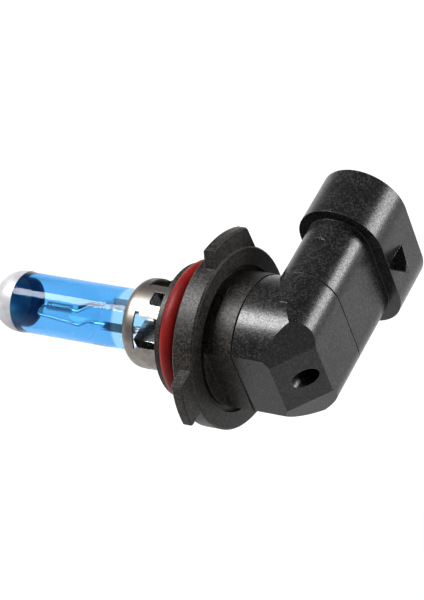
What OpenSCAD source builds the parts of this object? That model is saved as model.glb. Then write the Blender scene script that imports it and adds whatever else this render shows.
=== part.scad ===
// Right-angle capsule headlight bulb with a sealed bayonet base and a two-blade
// socket.  Frame: lamp axis along X with the glass toward -X, connector toward
// +Y, +Z up.  The origin is on the lamp axis in the front face of the bayonet
// disc.  All dimensions in millimetres.

/* [Glass capsule] */
// Outer radius of the glass tube
glass_r = 5.13; // [4.8:0.01:5.6]
// Wall of the glass tube
glass_wall = 0.85; // [0.6:0.05:1.2]
// Distance from the disc face to the centre of the domed end
dome_x = 38.8; // [37:0.1:41]
// Distance from the disc face to the rear end of the gas space
cavity_x = 22.4; // [21:0.1:25]
// Distance from the disc face to the shoulder where the tube narrows to the seal
shoulder_x = 15.4; // [15:0.1:20]
// Half width of the flat press seal
seal_w = 4.3; // [3.6:0.1:4.8]
// Half thickness of the flat press seal
seal_t = 1.35; // [1:0.05:1.8]
// Distance from the disc face to the rear end of the press seal
seal_end = 6.4; // [4:0.1:9]
// Thickness of the opaque coating on the domed end
coat_t = 0.10; // [0.05:0.01:0.3]
// Distance from the disc face to the edge of the coating
coat_x = 38.2; // [36:0.1:40]

/* [Filament and wires] */
// Distance from the disc face to the middle of the coil (light centre)
light_centre = 31.5; // [31:0.1:32]
// Length of the coil
coil_len = 5.0; // [4.4:0.1:5.6]
// Outer radius of the coil
coil_r = 0.74; // [0.5:0.01:1]
// Radius of the support wires inside the glass
wire_r = 0.26; // [0.18:0.01:0.4]
// Radius of the lead wires behind the seal
lead_r = 0.40; // [0.3:0.01:0.6]
// Distance of each lead from the lamp axis inside the seal
lead_y = 1.9; // [1.5:0.1:2.4]

/* [Metal capsule holder] */
// Outer radius of the windowed collar
collar_r = 7.45; // [7.3:0.05:8.2]
// Sheet thickness of the collar
collar_t = 0.35; // [0.25:0.05:0.6]
// Distance from the disc face to the front of the collar
collar_x = 15.2; // [14:0.1:17]
// Radius of the rolled front edge of the collar
collar_round = 2.0; // [1.2:0.1:2.2]
// Radius of the front opening of the collar
collar_open = 5.32; // [5.2:0.01:5.5]

/* [Sealed base] */
// Radius of the front lip and barrel
lip_r = 11.0; // [10.5:0.05:11.5]
// Distance from the disc face to the front of the lip
lip_x = 5.7; // [5.5:0.1:6.1]
// Thickness of the front lip
lip_t = 0.85; // [0.7:0.05:1]
// Radius of the bottom of the seal groove
groove_r = 9.0; // [8.5:0.05:9.5]
// Section radius of the seal ring
ring_r = 1.48; // [1.2:0.01:1.5]
// Radius of the bayonet disc
disc_r = 14.8; // [14.5:0.05:15.4]
// Thickness of the bayonet disc
disc_t = 3.6; // [3:0.1:4.2]
// Outer radius of the bayonet lugs
lug_r = 17.8; // [17:0.1:18.4]
// Distance from the disc face to the front face of the lugs
lug_x = 1.5; // [1:0.1:2.2]
// Thickness of the bayonet lugs
lug_t = 1.9; // [1.5:0.1:2.4]
// Radius of the neck behind the disc
base_neck_r = 11.0; // [10.8:0.05:11.4]
// Outer radius of the ring-shaped relief round the neck
relief_r = 11.9; // [11.8:0.1:13]
// Depth of the ring-shaped relief
relief_d = 0.8; // [0.6:0.1:2.4]

/* [Elbow housing] */
// Distance from the disc face to the joint between base and elbow
elbow_x = 8.3; // [7.5:0.1:9]
// Radius of the elbow leg on the lamp axis
elbow_r = 10.9; // [10.6:0.05:11]
// Distance from the lamp axis to the lower flat
flat_y = 8.75; // [8.2:0.05:9.4]
// Position of the 45 degree corner cut, measured as x minus y
corner_cut = 23.5; // [22.8:0.1:24.4]
// Tilt of the two side cuts of the corner
side_tilt = 21; // [12:1:30]
// Diameter of the round blind hole in the corner
hole_d = 3.4; // [2.6:0.1:3.6]
// Distance from the disc face to the axis of the blind hole
hole_x = 18.0; // [17.6:0.1:18.2]
// Distance from the lamp axis down to the bottom of the blind hole
hole_end = 2.0; // [1.8:0.1:4]

/* [Connector] */
// Distance from the disc face to the connector axis
conn_x = 14.9; // [14.4:0.1:15.4]
// Half width of the connector neck along the lamp axis
neck_rx = 5.44; // [5:0.02:6]
// Half height of the connector neck
neck_hz = 10.96; // [10.7:0.02:11.4]
// Height of the joint between elbow and connector above the lamp axis
joint_y = 6.2; // [5.6:0.1:7]
// Height of the step up to the shroud above the lamp axis
step_y = 17.9; // [17:0.1:18.6]
// Height of the connector mouth above the lamp axis
mouth_y = 27.2; // [26.5:0.1:28]
// Half width of the shroud along the lamp axis
shroud_rx = 7.4; // [7:0.05:7.8]
// Half height of the shroud
shroud_hz = 12.8; // [12.4:0.05:13.4]
// Wall of the shroud
shroud_wall = 1.5; // [1.2:0.1:2]
// Height of the socket floor above the lamp axis
floor_y = 10.4; // [9.5:0.1:12]
// Distance of each blade from the middle plane
blade_z = 4.25; // [3.8:0.05:4.6]
// Width of a blade
blade_w = 2.8; // [2.5:0.1:3.2]
// Thickness of a blade
blade_t = 0.8; // [0.6:0.05:1]
// Height of the blade tips above the lamp axis
blade_tip = 22.6; // [20:0.1:25]
// Height of the locking catch above the flat side of the shroud
catch_h = 2.4; // [1.8:0.1:2.8]
// Distance from the lamp axis to the nose of the locking catch
catch_y = 18.6; // [18.4:0.1:19.4]

/* [Hidden] */
$fn = 96;
// overlap that joins two solids of one node
e = 0.01;
// size of a broken edge
edge = 0.25;
// width and depth of the seam between two mouldings
seam_w = 0.2;
seam_d = 0.14;
// depth of an ejector pin mark
mark_d = 0.2;
// windows in the collar: their middles round the lamp axis, and their ends along it
large_windows = [52, 142, 232, 322];
small_windows = [95, 275];
window_front = -12.3;
window_rear = -7.1;
window_half = 2.55;
// sheet, and inner half width and half height, of the spring clip
clip_t = 0.35;
clip_y = seal_w + 0.80;
clip_z = 1.78;
tongue_x = -11.2;
tongue_z = 4.9;
tongue_r = 1.5;
glass_ri = glass_r - glass_wall;
ring_c = groove_r + ring_r;
groove_end = 1.85;
shroud_x = conn_x + 0.2;
coil_a = -light_centre - coil_len/2;
coil_b = -light_centre + coil_len/2;
bore_r = 7.0;
foot_y = 0.72;
coil_wire = 0.17;
coil_bore = wire_r + 0.01;
bend_r = 0.7;
bend_n = 5;
foil_half = 0.06;
shoulder_r = 2.0;
wire_z = wire_r + foil_half + 0.01;
lead_z = -lead_r - foil_half - 0.01;
ring_face = 6.3;
elbow_wall = 1.8;

// ---- helpers --------------------------------------------------------------

// solid cylinder on the lamp axis
module cx(x0, x1, r) {
  translate([x0, 0, 0]) rotate([0, 90, 0]) cylinder(h = x1 - x0, r = r);
}

// solid of revolution about the lamp axis from a profile [radius, x]
module rev() {
  rotate([0, 90, 0]) rotate_extrude() children();
}

// rounded-end prism along Y
module ob(xc, rx, hz, y0, y1) {
  translate([xc, y0, 0]) rotate([-90, 0, 0]) linear_extrude(y1 - y0) {
    translate([0, hz - rx]) circle(r = rx);
    translate([0, rx - hz]) circle(r = rx);
    square([2*rx, 2*(hz - rx)], center = true);
  }
}

// short round pocket left by an ejector pin in a surface that faces +Z
module pin_mark(x, y, z, r) {
  translate([x, y, z - mark_d]) cylinder(h = 2, r = r, $fn = 48);
}

// profile of a disc with broken edges, from the axis outward
module disc_profile(x0, x1, r) {
  polygon([[0, x0], [r - edge, x0], [r, x0 + edge], [r, x1 - edge], [r - edge, x1], [0, x1]]);
}

// straight round rod between two points
module seg(a, b, r) {
  d = b - a;
  l = norm(d);
  translate(a) rotate([0, acos(d[2]/l), atan2(d[1], d[0])]) cylinder(h = l, r = r, $fn = 32);
}

function unit(v) = v/norm(v);

// points of the arc that rounds the bend at b on the way from a to c
function bend(a, b, c) =
  let (u = unit(a - b), v = unit(c - b), half = acos(u*v)/2, reach = bend_r/tan(half),
       middle = b + unit(u + v)*bend_r/sin(half), turn = 180 - 2*half,
       from = b + u*reach - middle, to = b + v*reach - middle)
  [for (i = [0 : bend_n])
     middle + (sin((1 - i/bend_n)*turn)*from + sin(i/bend_n*turn)*to)/sin(turn)];

// a path with every bend rounded
function rounded(p) = concat([p[0]],
  [for (i = [1 : len(p) - 2]) each bend(p[i - 1], p[i], p[i + 1])], [p[len(p) - 1]]);

// round wire swept along a path that never runs straight up
module wire(path, r) {
  p = rounded(path);
  last = len(p) - 1;
  sides = 14;
  rings = [for (i = [0 : last])
    let (t = unit(p[min(i + 1, last)] - p[max(i - 1, 0)]), n = unit(cross(t, [0, 0, 1])), m = cross(n, t))
    for (k = [0 : sides - 1]) p[i] + r*(cos(k*360/sides)*n + sin(k*360/sides)*m)];
  polyhedron(rings, concat(
    [[for (k = [0 : sides - 1]) k], [for (k = [sides - 1 : -1 : 0]) last*sides + k]],
    [for (i = [0 : last - 1], k = [0 : sides - 1])
      let (a = i*sides + k, b = i*sides + (k + 1)%sides) [a, a + sides, b]],
    [for (i = [0 : last - 1], k = [0 : sides - 1])
      let (a = i*sides + k, b = i*sides + (k + 1)%sides) [b, a + sides, b + sides]]), 4);
}

// quarter disc for profiles of revolution, side = -1 toward the tip
module quarter(x, r, side) {
  intersection() {
    translate([0, x]) circle(r = r);
    translate([0, side < 0 ? x - r - 1 : x]) square([r + 1, r + 1]);
  }
}

// block from two corners
module blk(a, b) {
  translate(a) cube(b - a);
}

// ---- glass capsule --------------------------------------------------------

module tube_profile(r) {
  translate([0, -dome_x]) square([r, dome_x - shoulder_x]);
  quarter(-dome_x, r, -1);
}

module nub_profile(r) {
  intersection() {
    translate([0, -dome_x - glass_r + 0.35]) circle(r = r, $fn = 40);
    translate([0, -dome_x - glass_r - 2]) square([2, 4]);
  }
}

module glass_outer() {
  rev() {
    tube_profile(glass_r);
    nub_profile(0.8);
    translate([0, -shoulder_x - e]) square([glass_r - shoulder_r, shoulder_r + e]);
    translate([glass_r - shoulder_r, 0]) quarter(-shoulder_x, shoulder_r, 1);
  }
  blk([-shoulder_x - 1, -seal_w, -seal_t], [-seal_end, seal_w, seal_t]);
  for (s = [-1, 1]) translate([0, s*(seal_w - 1.0), 0]) cx(-shoulder_x + 0.5, -seal_end, 1.75);
}

module foil_space(s, g) {
  blk([-21.6 - g, s*lead_y - 0.8 - g, -foil_half - g], [-14.2 + g, s*lead_y + 0.8 + g, foil_half + g]);
}

// each wire lies on its foil, so it starts at one side of the foil's plane
long_path = [[-20.9, -lead_y, wire_z], [-24.2, -1.95, wire_z], [-26.0, -2.85, 0],
             [-34.95, -2.05, 0], [coil_a - 0.75, 0, 0], [coil_a + 0.9, 0, 0]];
short_path = [[-20.9, lead_y, wire_z], [-24.6, 1.2, wire_z], [-27.4, -0.25, 0], [coil_b - 0.9, 0, 0]];
anchor_path = [[-22.1, 0.5, 1.3], [-24.6, 0.6, 1.5], [-26.1, -1.1, 2.1]];
lead_path = [[-15.2, lead_y, lead_z], [-4.6, lead_y, lead_z], [2.5, lead_y, 2.2],
             [8.4, 0, blade_z], [11.4, 0, blade_z]];

module glass_capsule() color([0.45, 0.72, 0.95, 0.4]) difference() {
  glass_outer();
  rev() {
    translate([0, -dome_x]) square([glass_ri, dome_x - cavity_x - glass_ri]);
    quarter(-dome_x, glass_ri, -1);
    quarter(-cavity_x - glass_ri, glass_ri, 1);
  }
  for (s = [-1, 1]) {
    foil_space(s, 0.02);
    seg([-15.4, s*lead_y, s*lead_z], [-5.0, s*lead_y, s*lead_z], lead_r + 0.02);
  }
  seg([-21.1, -lead_y, wire_z], [-24.2, -1.95, wire_z], wire_r + 0.02);
  seg([-21.1, lead_y, wire_z], short_path[1], wire_r + 0.02);
  seg([-21.9, 0.5, 1.3], anchor_path[1], wire_r + 0.02);
}

module tip_coating() color([0.85, 0.86, 0.88]) rev() intersection() {
  difference() {
    union() {
      tube_profile(glass_r + coat_t);
      nub_profile(0.8 + coat_t);
    }
    tube_profile(glass_r);
    nub_profile(0.8);
  }
  translate([0, -60]) square([10, 60 - coat_x]);
}

// ---- filament and wires ---------------------------------------------------

module filament_coil() color([0.62, 0.62, 0.64]) {
  n = 12;
  p = coil_len/n;
  rev() {
    translate([coil_bore, coil_a]) square([coil_r - coil_wire - coil_bore, coil_len]);
    for (i = [0 : n - 1])
      translate([coil_r - coil_wire, coil_a + (i + 0.5)*p]) circle(r = coil_wire, $fn = 24);
  }
}

module support_long() color([0.55, 0.56, 0.6]) wire(long_path, wire_r);
module support_short() color([0.55, 0.56, 0.6]) wire(short_path, wire_r);
module anchor_wire() color([0.5, 0.5, 0.54]) wire(anchor_path, wire_r);

module seal_foil(s) color([0.7, 0.7, 0.72]) foil_space(s, 0);
module seal_foil_a() seal_foil(-1);
module seal_foil_b() seal_foil(1);

// ---- lead wires behind the seal -------------------------------------------

module lead_wire_b() color([0.78, 0.76, 0.72]) wire(lead_path, lead_r);
module lead_wire_a() rotate([180, 0, 0]) lead_wire_b();

// ---- metal capsule holder -------------------------------------------------

// spring clip that grips the press seal and stands on the seat ring
module seal_clip() color([0.8, 0.78, 0.74]) {
  difference() {
    blk([-13.2, -clip_y - clip_t, -clip_z - clip_t], [-ring_face, clip_y + clip_t, clip_z + clip_t]);
    blk([-20, -clip_y, -clip_z], [0, clip_y, clip_z]);
    // slots that let the broad sides spring
    for (s = [-1, 1]) blk([-14, -1.2, s > 0 ? 1.6 : -2.4], [-11.6, 1.2, s > 0 ? 2.4 : -1.6]);
  }
  for (s = [-1, 1]) {
    // feet turned outward on the seat ring
    blk([-ring_face - clip_t, -3.0, s > 0 ? clip_z : -6.1], [-ring_face, 3.0, s > 0 ? 6.1 : -clip_z]);
    // rounded tongues behind the windows
    blk([tongue_x, -tongue_r, s > 0 ? clip_z : -tongue_z],
        [tongue_x + clip_t, tongue_r, s > 0 ? tongue_z : -clip_z]);
    translate([tongue_x, 0, s*tongue_z]) rotate([0, 90, 0])
      cylinder(h = clip_t, r = tongue_r, $fn = 48);
  }
}

// outer or inner skin of the rolled cup as a profile [radius, x]
module collar_skin(r, x, rr) {
  translate([0, x + rr]) square([r, 30]);
  translate([0, x]) square([r - rr, rr + 1]);
  translate([r - rr, x + rr]) circle(r = rr);
}

module windowed_collar() color([0.8, 0.77, 0.72]) difference() {
  rev() difference() {
    collar_skin(collar_r, -collar_x, collar_round);
    collar_skin(collar_r - collar_t, -collar_x + collar_t, collar_round - collar_t);
    translate([0, -collar_x - 1]) square([collar_open, 10]);
    translate([0, -ring_face]) square([20, 60]);
  }
  // four large windows, open almost to the seat ring, with small slots at their front corners
  for (a = large_windows) rotate([a, 0, 0]) {
    blk([window_front, collar_r - 3, -window_half], [window_rear, collar_r + 2, window_half]);
    blk([window_front, collar_r - 3, -3.3], [window_front + 0.8, collar_r + 2, -2.0]);
    blk([window_front, collar_r - 3, 2.0], [window_front + 0.4, collar_r + 2, 2.9]);
  }
  // two small windows on opposite sides, each with one rounded corner
  for (a = small_windows) rotate([a, 0, 0]) {
    blk([-10.3, collar_r - 3, -1.3], [window_rear, collar_r + 2, 0.6]);
    blk([-9.6, collar_r - 3, -1.3], [window_rear, collar_r + 2, 1.3]);
    translate([-9.6, collar_r - 3, 0.6]) rotate([-90, 0, 0]) cylinder(h = 5, r = 0.7, $fn = 32);
  }
}

// stepped metal ring that joins the holder to the plastic base
module seat_ring() color([0.78, 0.76, 0.72]) difference() {
  union() {
    cx(-ring_face, -lip_x, 8.9);
    cx(-lip_x, -3.0, 7.6);
  }
  cx(-20, -lip_x + 0.4, 5.0);
  cx(-lip_x + 0.4, 0, 6.9);
}

// ---- sealed plastic base --------------------------------------------------

module lug(corners) {
  // one bayonet lug; corners are the [y, z] corners of the sector that it fills
  intersection() {
    rev() difference() {
      disc_profile(lug_x, lug_x + lug_t, lug_r);
      square([disc_r - 0.6, 20]);
    }
    rotate([90, 0, 90]) linear_extrude(20) polygon(corners);
  }
}

// the upper lug leans inward on one end; the lower one is square; the last is on the far side
upper_lug = [[0.3, 13.1], [3.5, 19.8], [11.45, 19.8], [11.85, 6.5]];
lower_lug = [[-9, 6.8], [-20, 6.8], [-20, -0.9], [-9, -0.9]];
front_lug = [[1.3, -9.2], [4.2, -20.4], [12.8, -16.4], [9.9, -5.2]];

module base_flange() color([0.16, 0.15, 0.15]) difference() {
  union() {
    cx(-lip_x, -lip_x + lip_t, lip_r);
    cx(-lip_x + e, 0.5, groove_r);
    cx(-groove_end, 0.5, 10.3);
    rev() disc_profile(0, disc_t, disc_r);
    lug(upper_lug);
    lug(lower_lug);
    lug(front_lug);
    difference() {
      cx(disc_t - 1, elbow_x, base_neck_r);
      blk([disc_t, -20, -20], [20, -flat_y - 0.2, 20]);
    }
  }
  // bore for the leads and seat for the metal ring
  cx(-lip_x - 1, -2.9, 7.62);
  cx(-4, elbow_x - 2.2, bore_r);
  cx(elbow_x - 3, elbow_x + 1, 8.0);
  // ring-shaped relief in the rear face of the disc
  difference() {
    cx(disc_t - relief_d, disc_t + 1, relief_r);
    cx(disc_t - relief_d - 1, disc_t + 2, base_neck_r);
  }
  pin_mark(6.0, 0.7, base_neck_r, 1.4);
}

module seal_ring() color([0.62, 0.12, 0.1]) rev()
  translate([ring_c, -(lip_x - lip_t + groove_end)/2]) circle(r = ring_r, $fn = 64);

// ---- elbow housing --------------------------------------------------------

module elbow_solid() {
  end_x = conn_x + neck_rx;
  seam_y = joint_y - seam_w;
  difference() {
    union() {
      // leg on the lamp axis, mitred by the outline of the other leg
      intersection() {
        union() {
          cx(elbow_x + seam_w, end_x, elbow_r);
          cx(elbow_x, elbow_x + seam_w + e, elbow_r - seam_d);
        }
        union() {
          ob(conn_x, neck_rx, neck_hz, -40, 40);
          blk([elbow_x, -40, -40], [conn_x, 40, 40]);
        }
        blk([0, -flat_y, -40], [60, 40, 40]);
      }
      // leg toward the connector
      ob(conn_x, neck_rx, neck_hz, 0, seam_y);
    }
    ob(conn_x, neck_rx + 0.02, neck_hz + 0.02, seam_y, 30);
  }
  ob(conn_x, neck_rx - seam_d, neck_hz - seam_d, seam_y - e, joint_y);
}

module corner_cuts(d) {
  // half spaces outside the 45 degree corner and its two tilted sides
  c = (corner_cut - d)/2;
  translate([c, -c, 0]) rotate([0, 0, -45]) {
    translate([0, -30, -30]) cube([30, 60, 60]);
    translate([0, 0, 5.1]) rotate([0, -side_tilt, 0]) translate([0, -30, 0]) cube([30, 60, 30]);
    translate([0, 0, -5.1]) rotate([0, side_tilt, 0]) translate([0, -30, -30]) cube([30, 60, 30]);
  }
}

module elbow_housing() color([0.17, 0.16, 0.16]) difference() {
  elbow_solid();
  corner_cuts(0);
  // hollow inside, following the outside at one wall thickness
  difference() {
    union() {
      cx(elbow_x - 1, conn_x, 8.0);
      ob(conn_x, neck_rx - elbow_wall, neck_hz - elbow_wall, 1.6 - hole_end, joint_y + 1);
    }
    blk([0, -40, -40], [60, -6.6, 40]);
    corner_cuts(2*elbow_wall*0.9);
  }
  // round blind hole in the corner
  translate([hole_x, -20, 0]) rotate([-90, 0, 0]) cylinder(h = 20 - hole_end, r = hole_d/2, $fn = 64);
}

// ---- connector ------------------------------------------------------------

// wedge with a ramp toward the mouth and a pointed nose, for the mating plug
module locking_catch() {
  side = shroud_x + shroud_rx;
  intersection() {
    translate([0, 0, -5]) linear_extrude(10)
      polygon([[side - 0.4, catch_y], [side + catch_h - 0.1, catch_y], [side + catch_h, catch_y + 1],
               [side, catch_y + 4.4], [side - 0.4, catch_y + 4.4]]);
    translate([side - 1, 0, 0]) rotate([90, 0, 90]) linear_extrude(5)
      polygon([[catch_y, 0], [catch_y + 1.15, 1.6], [catch_y + 4.5, 1.35],
               [catch_y + 4.5, -1.35], [catch_y + 1.15, -1.6]]);
  }
}

module connector_shroud() color([0.15, 0.14, 0.14]) difference() {
  union() {
    ob(conn_x, neck_rx, neck_hz, joint_y, step_y + 0.5);
    ob(shroud_x, shroud_rx, shroud_hz, step_y, mouth_y);
    locking_catch();
  }
  // socket
  ob(shroud_x, shroud_rx - shroud_wall, shroud_hz - shroud_wall, step_y + 1.4, mouth_y + 1);
  ob(conn_x, neck_rx - 1.35, neck_hz - 1.35, floor_y, mouth_y);
  // pocket under the floor that takes the terminal carrier
  ob(conn_x, neck_rx - 1.8, neck_hz - 1.8, joint_y - 1, floor_y - 1.6);
  // blade slots through the floor
  for (s = [-1, 1])
    blk([conn_x - blade_t/2 - 0.05, 0, s*blade_z - blade_w/2 - 0.05],
        [conn_x + blade_t/2 + 0.05, 30, s*blade_z + blade_w/2 + 0.05]);
  // keying grooves inside the mouth
  for (s = [-1, 1]) blk([shroud_x - shroud_rx + shroud_wall - 0.6, step_y + 3, s*3.2 - 0.8],
                        [shroud_x - 2, mouth_y + 1, s*3.2 + 0.8]);
  pin_mark(conn_x, 12.6, neck_hz, 1.25);
}

// insulating block that holds the two terminals inside the housing
module terminal_carrier() color([0.2, 0.2, 0.21]) difference() {
  ob(conn_x, neck_rx - 1.85, neck_hz - 1.85, 2.4, floor_y - 1.62);
  for (s = [-1, 1])
    blk([conn_x - blade_t/2 - 0.03, 0, s*blade_z - blade_w/2 - 0.03],
        [conn_x + blade_t/2 + 0.03, 30, s*blade_z + blade_w/2 + 0.03]);
}

module terminal(s) color([0.82, 0.78, 0.66]) {
  z0 = s*blade_z - blade_w/2;
  // blade with bevelled tip
  translate([conn_x + blade_t/2, 0, 0]) rotate([0, -90, 0]) linear_extrude(blade_t)
    polygon([[z0, foot_y], [z0 + blade_w, foot_y], [z0 + blade_w, blade_tip - 0.9],
             [z0 + blade_w - 0.6, blade_tip], [z0 + 0.6, blade_tip], [z0, blade_tip - 0.9]]);
  // foot that reaches back to the lead wire
  blk([9.6, foot_y, z0 + 0.5], [conn_x, foot_y + blade_t, z0 + blade_w - 0.5]);
}
module terminal_a() terminal(-1);
module terminal_b() terminal(1);

// welded sleeve over the end of each lead, under the terminal foot
module weld_sleeve_b() color([0.75, 0.74, 0.72]) difference() {
  translate([9.4, 0, blade_z]) rotate([0, 90, 0]) cylinder(h = 2.0, r = foot_y, $fn = 48);
  translate([8, 0, blade_z]) rotate([0, 90, 0]) cylinder(h = 5, r = lead_r + 0.01, $fn = 32);
}
module weld_sleeve_a() rotate([180, 0, 0]) weld_sleeve_b();

// ---- dispatch -------------------------------------------------------------

glass_capsule();
tip_coating();
filament_coil();
support_long();
support_short();
anchor_wire();
seal_foil_a();
seal_foil_b();
lead_wire_a();
lead_wire_b();
seal_clip();
windowed_collar();
seat_ring();
base_flange();
seal_ring();
elbow_housing();
connector_shroud();
terminal_carrier();
terminal_a();
terminal_b();
weld_sleeve_a();
weld_sleeve_b();
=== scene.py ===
"""Looks, light and camera for the right-angle headlight bulb.

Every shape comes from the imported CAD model. This script gives each node its material, and sets up
the floor, the lights and the camera.
"""

import bpy
from mathutils import Matrix, Vector


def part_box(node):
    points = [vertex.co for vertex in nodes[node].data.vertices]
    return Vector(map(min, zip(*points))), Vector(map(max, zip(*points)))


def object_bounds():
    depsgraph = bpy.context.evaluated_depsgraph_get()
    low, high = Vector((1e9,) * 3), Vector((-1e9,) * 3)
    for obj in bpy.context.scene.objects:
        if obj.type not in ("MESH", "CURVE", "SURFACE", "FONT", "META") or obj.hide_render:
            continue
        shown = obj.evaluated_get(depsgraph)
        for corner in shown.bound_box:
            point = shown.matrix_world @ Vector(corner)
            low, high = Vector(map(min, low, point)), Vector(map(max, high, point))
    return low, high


MM = 0.001

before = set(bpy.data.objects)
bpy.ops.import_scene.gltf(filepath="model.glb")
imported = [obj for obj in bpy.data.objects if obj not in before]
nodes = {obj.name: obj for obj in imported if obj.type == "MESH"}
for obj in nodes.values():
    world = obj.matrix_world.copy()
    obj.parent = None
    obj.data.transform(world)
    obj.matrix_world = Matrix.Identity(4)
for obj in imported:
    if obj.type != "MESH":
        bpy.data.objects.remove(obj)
CAD_BOX = [list(corner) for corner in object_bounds()]


def rgb(r, g, b):
    return (r, g, b, 1)


# ---- small helpers for node materials -----------------------------------------------------------


class Surface:
    """A new material: its Principled shader, and short calls that add and join nodes."""

    def __init__(self, name, **sockets):
        self.material = bpy.data.materials.new(name)
        self.material.use_nodes = True
        self.tree = self.material.node_tree
        self.tree.nodes.clear()
        self.shader = self.add("BsdfPrincipled", **sockets)
        self.join(self.shader, 0, self.add("OutputMaterial"), "Surface")

    def add(self, kind, props=None, **sockets):
        """A node of that kind. Sockets are named with _ for a space."""
        node = self.tree.nodes.new("ShaderNode" + kind)
        for key, value in (props or {}).items():
            setattr(node, key, value)
        for key, value in sockets.items():
            node.inputs[key.replace("_", " ")].default_value = value
        return node

    def join(self, source, out, target, into):
        """Links an output of one node to an input of another."""
        self.tree.links.new(source.outputs[out], target.inputs[into])

    def feed(self, node, into, value):
        """Gives that input a fixed value, or the output of a (node, output) pair."""
        if isinstance(value, tuple) and isinstance(value[0], bpy.types.Node):
            self.join(value[0], value[1], node, into)
        else:
            node.inputs[into].default_value = value

    def place(self, stretch=(1, 1, 1)):
        """Object coordinates in metres, times `stretch`: 0.1 makes features ten times as long."""
        where = self.add("TexCoord")
        size = self.add("Mapping", Scale=stretch)
        self.join(where, "Object", size, "Vector")
        return size

    def noise(self, grain, detail, rough=0.5, stretch=(1, 1, 1), seed=0.0):
        """Noise whose features are about `grain` metres across."""
        node = self.add("TexNoise", {"noise_dimensions": "4D"}, W=seed, Scale=1 / grain, Detail=detail,
                        Roughness=rough)
        self.join(self.place(stretch), 0, node, "Vector")
        return node

    def cells(self, grain, seed):
        """Random cells about `grain` metres across."""
        node = self.add("TexVoronoi", {"voronoi_dimensions": "4D"}, W=seed, Scale=1 / grain)
        self.join(self.place(), 0, node, "Vector")
        return node

    def chance(self, cells):
        """A random number from 0 to 1 for each cell."""
        node = self.add("SeparateColor")
        self.join(cells, "Color", node, 0)
        return node

    def ramp(self, source, out, stops):
        """A colour ramp; each stop is (position from 0 to 1, colour or grey level)."""
        node = self.add("ValToRGB")
        band = node.color_ramp
        while len(band.elements) < len(stops):
            band.elements.new(0.5)
        for element, (where, colour) in zip(band.elements, stops):
            element.position = where
            element.color = colour if hasattr(colour, "__len__") else rgb(colour, colour, colour)
        self.join(source, out, node, "Fac")
        return node

    def math(self, kind, a, b, clamp=False):
        """a and b are numbers or (node, output) pairs."""
        node = self.add("Math", {"operation": kind, "use_clamp": clamp})
        self.feed(node, 0, a)
        self.feed(node, 1, b)
        return node

    def mix(self, factor, a, b):
        """A colour from a at factor 0 to b at factor 1, on output 2. Each is a value or a pair."""
        node = self.add("Mix", {"data_type": "RGBA"})
        self.feed(node, 0, factor)
        self.feed(node, 6, a)
        self.feed(node, 7, b)
        return node

    def bump(self, source, out, depth, strength=1.0, under=None):
        """Bump `depth` metres high, over another normal if one is given."""
        node = self.add("Bump", Strength=strength, Distance=depth)
        self.join(source, out, node, "Height")
        if under is not None:
            self.join(under, 0, node, "Normal")
        return node

    def wear(self, *names):
        """Puts this material on those CAD nodes."""
        for name in names:
            nodes[name].data.materials.clear()
            nodes[name].data.materials.append(self.material)


# ---- materials ----------------------------------------------------------------------------------

BEVEL_RAYS = 8
EDGE_WEAR_AND_SHEEN = rgb(0.13, 0.125, 0.115)   # plastic on its edges: partly rubbed wear, partly a painted highlight
EDGE_WEAR_AND_SHEEN_SHARE = 0.28
MOTTLE_START = 0.675               # where the pale mottle starts, before its share brings it forward
MOTTLE_FADE = 0.2
STAINED = (0.62, 0.58, 0.55)       # times a metal's colour, where it is stained
PAINTED_SHADE_INSIDE = 0.25                    # times a metal's colour on the inside of a turned piece: painted shade
EDGE_ON = -1e-5                    # just below 0, so that a surface edge-on to the centre faces away


def rounded_edges(s, radius):
    """Rounded shading on sharp edges. Gives the rounded normal, and a mask that is 1 on the edges."""
    bevel = s.add("Bevel", {"samples": BEVEL_RAYS}, Radius=radius)
    face = s.add("NewGeometry")
    turn = s.add("VectorMath", {"operation": "DOT_PRODUCT"})
    s.join(bevel, 0, turn, 0)
    s.join(face, "Normal", turn, 1)
    mask = s.ramp(turn, "Value", [(0.90, 1), (0.995, 0)])
    return bevel, mask


def faces_out(s, centre, axes):
    """1 where the surface faces away from a centre, 0 where it faces towards it.

    `axes` is 1 for each axis that counts, and 0 for the others.
    """
    where = s.add("NewGeometry")
    away = s.add("VectorMath", {"operation": "SUBTRACT"})
    s.join(where, "Position", away, 0)
    s.feed(away, 1, centre)
    flat = s.add("VectorMath", {"operation": "MULTIPLY"})
    s.join(away, 0, flat, 0)
    s.feed(flat, 1, axes)
    facing = s.add("VectorMath", {"operation": "DOT_PRODUCT"})
    s.join(flat, 0, facing, 0)
    s.join(where, "Normal", facing, 1)
    return s.math("GREATER_THAN", (facing, "Value"), EDGE_ON)


def moulded(name, dark, pale, share, roughness, grain, depth, gloss):
    """Glass-filled nylon: spark-eroded grain, a mottle of pale fibre ends, and paler edges that are partly
    rubbed wear and partly painted highlight.
    """
    s = Surface(name, Specular_IOR_Level=gloss)
    bevel, edge = rounded_edges(s, 0.12 * MM)
    pits = s.noise(grain, detail=1.5, rough=0.55)
    fibres = s.chance(s.cells(0.24 * MM, seed=7))
    cloud = s.noise(3 * MM, detail=3, rough=0.6, seed=3)
    both = s.math("ADD", (fibres, 0), (cloud, 0))
    level = s.math("MULTIPLY", (both, 0), 0.5)
    start = MOTTLE_START - share / 2
    spots = s.ramp(level, 0, [(start, 0), (start + MOTTLE_FADE, 1)])
    base = s.mix((spots, 0), rgb(*dark), rgb(*pale))
    # Paler edges: rubbed wear together with a painted highlight along every edge.
    edge_wear_and_sheen = s.math("MULTIPLY", (edge, 0), EDGE_WEAR_AND_SHEEN_SHARE)
    tint = s.mix((edge_wear_and_sheen, 0), (base, 2), EDGE_WEAR_AND_SHEEN)
    s.join(tint, 2, s.shader, "Base Color")
    rough = s.ramp(pits, 0, [(0.3, roughness - 0.06), (0.7, roughness + 0.12)])
    s.join(rough, 0, s.shader, "Roughness")
    s.join(s.bump(pits, 0, depth, under=bevel), 0, s.shader, "Normal")
    return s


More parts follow.
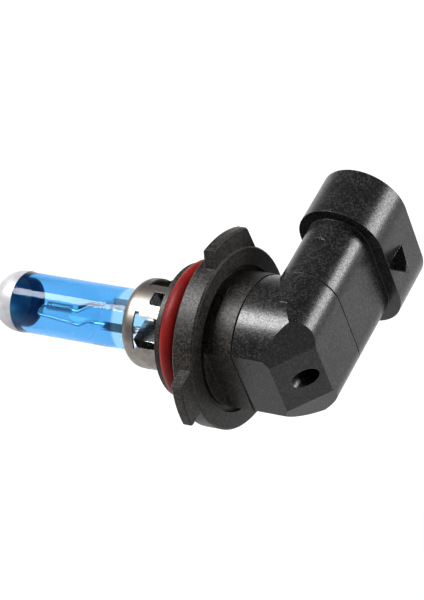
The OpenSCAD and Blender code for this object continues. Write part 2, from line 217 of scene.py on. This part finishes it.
def plated(name, colour, roughness, marks, turned):
    """Plated metal: satin, with marks `marks` metres deep and faint warm stains.

    A turned piece has its marks running round it, and its inside is darkened with painted shade.
    """
    s = Surface(name, Metallic=1.0)
    bevel, _ = rounded_edges(s, 0.08 * MM)
    lines = s.noise(0.35 * MM, detail=3, rough=0.6, stretch=(1, 0.10, 0.10) if turned else (1, 1, 1))
    stain = s.noise(1.6 * MM, detail=4, rough=0.65, seed=5)
    stained = [c * w for c, w in zip(colour, STAINED)]
    tint = s.ramp(stain, 0, [(0.32, rgb(*stained)), (0.62, rgb(*colour))])
    if turned:
        # Painted shade: the inside of a turned piece gets a darker copy of its colour.
        outside = faces_out(s, centre=(0, 0, 0), axes=(0, 1, 1))
        painted_shade_colour = [c * PAINTED_SHADE_INSIDE for c in colour]
        shade = s.mix((outside, 0), rgb(*painted_shade_colour), (tint, 0))
        s.join(shade, 2, s.shader, "Base Color")
    else:
        s.join(tint, 0, s.shader, "Base Color")
    rough = s.ramp(stain, 0, [(0.3, roughness + 0.10), (0.65, roughness)])
    s.join(rough, 0, s.shader, "Roughness")
    s.join(s.bump(lines, 0, marks, under=bevel), 0, s.shader, "Normal")
    return s


def silicone():
    """Red ring: satin, a little dusty, with small pale motes."""
    s = Surface("red_silicone", Specular_IOR_Level=0.10)
    dust = s.noise(0.40 * MM, detail=3, rough=0.6)
    cloud = s.noise(4 * MM, detail=3, seed=2)
    base = s.ramp(cloud, 0, [(0.3, rgb(0.10, 0.003, 0.003)), (0.7, rgb(0.165, 0.006, 0.005))])
    grey = s.ramp(dust, 0, [(0.40, 0), (0.85, 0.09)])
    tint = s.mix((grey, 0), (base, 0), rgb(0.26, 0.07, 0.05))
    motes = s.cells(0.7 * MM, seed=4)
    few = s.ramp(s.chance(motes), 0, [(0.86, 0), (0.88, 0.7)])
    near = s.ramp(motes, "Distance", [(0.10, 1), (0.22, 0)])
    mote = s.math("MULTIPLY", (few, 0), (near, 0))
    speckled = s.mix((mote, 0), (tint, 2), rgb(0.42, 0.20, 0.13))
    s.join(speckled, 2, s.shader, "Base Color")
    rough = s.ramp(dust, 0, [(0.3, 0.34), (0.7, 0.52)])
    s.join(rough, 0, s.shader, "Roughness")
    s.join(s.bump(dust, 0, 0.03 * MM, strength=0.8), 0, s.shader, "Normal")
    return s


TINT_DEPTH = 0.4 * MM              # surfaces this close to the tube's outer radius are coated
CLEAR_LENGTH = 3.0 * MM            # bare glass in front of the collar
TINT_FADE = 0.6 * MM
TINT_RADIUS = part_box("glass_capsule")[1].y - TINT_DEPTH
TINT_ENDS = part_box("windowed_collar")[0].x - CLEAR_LENGTH


def along_lamp(s, start, width):
    """0 before `start` on the lamp axis, rising to 1 over `width`."""
    where = s.add("TexCoord")
    parts = s.add("SeparateXYZ")
    s.join(where, "Object", parts, 0)
    step = s.math("SUBTRACT", (parts, "X"), start)
    return s.math("DIVIDE", (step, 0), width, clamp=True)


def from_axis(s):
    """Distance from the lamp axis."""
    where = s.add("TexCoord")
    flat = s.add("VectorMath", {"operation": "MULTIPLY"})
    s.join(where, "Object", flat, 0)
    s.feed(flat, 1, (0, 1, 1))
    length = s.add("VectorMath", {"operation": "LENGTH"})
    s.join(flat, 0, length, 0)
    return length


def blue_glass():
    """Glass coated blue outside up to a line in front of the collar, and clear elsewhere.

    Its index is below that of quartz, so that the wires inside stay plain to see.
    """
    s = Surface("blue_glass", Transmission_Weight=1.0, IOR=1.2, Roughness=0.0)
    clear = along_lamp(s, TINT_ENDS, TINT_FADE)
    inner = s.math("LESS_THAN", (from_axis(s), "Value"), TINT_RADIUS)
    bare = s.math("MAXIMUM", (clear, 0), (inner, 0))
    streaks = s.noise(5 * MM, detail=1, stretch=(0.25, 1, 1))
    blue = s.ramp(streaks, 0, [(0.3, rgb(0.065, 0.33, 0.74)), (0.7, rgb(0.115, 0.42, 0.84))])
    tint = s.mix((bare, 0), (blue, 0), rgb(0.97, 0.985, 1.0))
    s.join(tint, 2, s.shader, "Base Color")
    wave = s.noise(4 * MM, detail=2, stretch=(0.4, 1, 1), seed=4)
    s.join(s.bump(wave, 0, 0.05 * MM, strength=0.30), 0, s.shader, "Normal")
    return s


def tip_silver():
    """Dip coating on the dome: silver-white and softly frosted outside, blue inside, with lighter blue
    patches painted in as light inside the dome.
    """
    s = Surface("tip_silver", Roughness=0.42, Metallic=0.25)
    outside = faces_out(s, centre=(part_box("tip_coating")[1].x, 0, 0), axes=(1, 1, 1))
    mottle = s.noise(1.6 * MM, detail=4, rough=0.6)
    silver = s.ramp(mottle, 0, [(0.3, rgb(0.30, 0.30, 0.315)), (0.65, rgb(0.42, 0.42, 0.44))])
    # Painted light: lighter blue patches inside the coating stand in for light seen in the dome.
    painted_glow_patches = s.noise(3 * MM, detail=2, seed=9)
    inner = s.ramp(painted_glow_patches, 0, [(0.35, rgb(0.12, 0.44, 0.78)), (0.65, rgb(0.40, 0.95, 1.0))])
    tint = s.mix((outside, 0), (inner, 0), (silver, 0))
    s.join(tint, 2, s.shader, "Base Color")
    fine = s.noise(0.30 * MM, detail=2, seed=2)
    s.join(s.bump(fine, 0, 0.015 * MM, strength=0.7), 0, s.shader, "Normal")
    return s


def wire_metal(name, colour, roughness):
    """Drawn wire or thin foil: dull metal with fine lengthwise marks."""
    s = Surface(name, Metallic=1.0, Roughness=roughness)
    lines = s.noise(0.10 * MM, detail=3, stretch=(0.15, 1, 1))
    dull = [c * 0.6 for c in colour]
    tint = s.ramp(lines, 0, [(0.35, rgb(*dull)), (0.65, rgb(*colour))])
    s.join(tint, 0, s.shader, "Base Color")
    s.join(s.bump(lines, 0, 0.01 * MM, strength=0.6), 0, s.shader, "Normal")
    return s


def dress():
    """Gives every CAD node its material."""
    base = moulded("base_plastic", dark=(0.0042, 0.0038, 0.0040), pale=(0.030, 0.026, 0.022), share=0.45,
                   roughness=0.44, grain=0.30 * MM, depth=0.018 * MM, gloss=0.22)
    base.wear("base_flange")
    housing = moulded("housing_plastic", dark=(0.0048, 0.0045, 0.0050), pale=(0.024, 0.0225, 0.022),
                      share=0.32, roughness=0.26, grain=0.34 * MM, depth=0.018 * MM, gloss=0.27)
    housing.wear("elbow_housing", "connector_shroud")
    carrier = moulded("carrier_plastic", dark=(0.012, 0.012, 0.012), pale=(0.03, 0.03, 0.03), share=0.3,
                      roughness=0.5, grain=0.4 * MM, depth=0.01 * MM, gloss=0.4)
    carrier.wear("terminal_carrier")

    sheet = plated("nickel", colour=(0.24, 0.222, 0.205), roughness=0.36, marks=0.020 * MM, turned=True)
    sheet.wear("windowed_collar", "seat_ring")
    clip = plated("clip_nickel", colour=(0.62, 0.63, 0.66), roughness=0.22, marks=0.030 * MM, turned=False)
    clip.wear("seal_clip", "weld_sleeve_a", "weld_sleeve_b", "lead_wire_a", "lead_wire_b")
    brass = plated("tinned_brass", colour=(0.80, 0.75, 0.62), roughness=0.26, marks=0.008 * MM, turned=False)
    brass.wear("terminal_a", "terminal_b")

    silicone().wear("seal_ring")
    blue_glass().wear("glass_capsule")
    tip_silver().wear("tip_coating")

    tungsten = wire_metal("tungsten", colour=(0.80, 0.80, 0.82), roughness=0.38)
    tungsten.wear("filament_coil", "support_long", "support_short")
    wire_metal("dark_tungsten", colour=(0.22, 0.22, 0.25), roughness=0.40).wear("anchor_wire")
    wire_metal("foil", colour=(0.46, 0.48, 0.54), roughness=0.35).wear("seal_foil_a", "seal_foil_b")


# ---- floor, light and camera --------------------------------------------------------------------

FLOOR_HALF = 3.0                   # half its width, in metres
FLOOR_DROP = 30 * MM               # from the bulb's lowest point down to the floor
FLOOR_GLOW = 0.95
SKY_HORIZON = rgb(0.75, 0.75, 0.75)
SKY_OVERHEAD = rgb(0.18, 0.18, 0.185)
SKY_DIM_FROM = 0.25                # sine of the height above the horizon where the sky is at its dimmest


def floor():
    """A wide pale floor that glows like a light table."""
    z = CAD_BOX[0][2] - FLOOR_DROP
    corners = [(x * FLOOR_HALF, y * FLOOR_HALF, z) for x, y in ((-1, -1), (1, -1), (1, 1), (-1, 1))]
    mesh = bpy.data.meshes.new("floor")
    mesh.from_pydata(corners, [], [(0, 1, 2, 3)])
    plane = bpy.data.objects.new("floor", mesh)
    bpy.context.scene.collection.objects.link(plane)
    s = Surface("pale_floor", Base_Color=rgb(0.12, 0.12, 0.12), Roughness=0.9, Specular_IOR_Level=0.1,
                Emission_Color=rgb(1, 1, 1), Emission_Strength=FLOOR_GLOW)
    mesh.materials.append(s.material)


def softbox(name, direction, distance, width, height, watts, along):
    """A rectangular light that faces the origin; `along` is the direction of its width."""
    light = bpy.data.lights.new(name, "AREA")
    light.shape = "RECTANGLE"
    light.size = width
    light.size_y = height
    light.energy = watts
    lamp = bpy.data.objects.new(name, light)
    bpy.context.scene.collection.objects.link(lamp)
    back = Vector(direction).normalized()
    across = Vector(along)
    across = (across - across.dot(back) * back).normalized()
    turn = Matrix((across, back.cross(across), back)).transposed().to_4x4()
    lamp.matrix_world = Matrix.Translation(back * distance) @ turn


def sky():
    """Pale round the horizon and dim overhead, which leaves the bulb's highlights to the lights."""
    world = bpy.data.worlds.new("sky")
    bpy.context.scene.world = world
    world.use_nodes = True
    tree = world.node_tree
    background = tree.nodes["Background"]
    where = tree.nodes.new("ShaderNodeTexCoord")
    split = tree.nodes.new("ShaderNodeSeparateXYZ")
    band = tree.nodes.new("ShaderNodeValToRGB")
    low, high = band.color_ramp.elements
    low.position = 0.0
    low.color = SKY_HORIZON
    high.position = SKY_DIM_FROM
    high.color = SKY_OVERHEAD
    tree.links.new(where.outputs["Generated"], split.inputs[0])
    tree.links.new(split.outputs["Z"], band.inputs[0])
    tree.links.new(band.outputs[0], background.inputs["Color"])
    background.inputs["Strength"].default_value = 1.0


def camera():
    """The photograph's view: from behind and above the base, turned so the glass points down left."""
    data = bpy.data.cameras.new("camera")
    eye = bpy.data.objects.new("camera", data)
    bpy.context.scene.collection.objects.link(eye)
    stand = Vector((0.19205, -0.19824, 0.26196))
    right = Vector((0.8488, 0.4370, -0.2975))
    up = Vector((-0.1383, 0.7268, 0.6728))
    right.normalize()
    up = (up - up.dot(right) * right).normalized()
    back = right.cross(up)
    turn = Matrix((right, up, back)).transposed().to_4x4()
    eye.matrix_world = Matrix.Translation(stand) @ turn
    data.sensor_width = 36
    data.lens = 142.8
    data.clip_start = 0.01
    data.clip_end = 10
    bpy.context.scene.camera = eye


dress()
floor()
softbox("top_light", direction=(-0.51, -0.04, 0.857), distance=0.45, width=0.26, height=0.15, watts=4.5,
        along=(1, 0, 0.4))
softbox("side_light", direction=(0.848, 0.530, 0.05), distance=0.42, width=0.15, height=0.22, watts=2.3,
        along=(-0.5, 0.8, 0))
sky()
camera()

bpy.context.scene.view_settings.view_transform = "Standard"
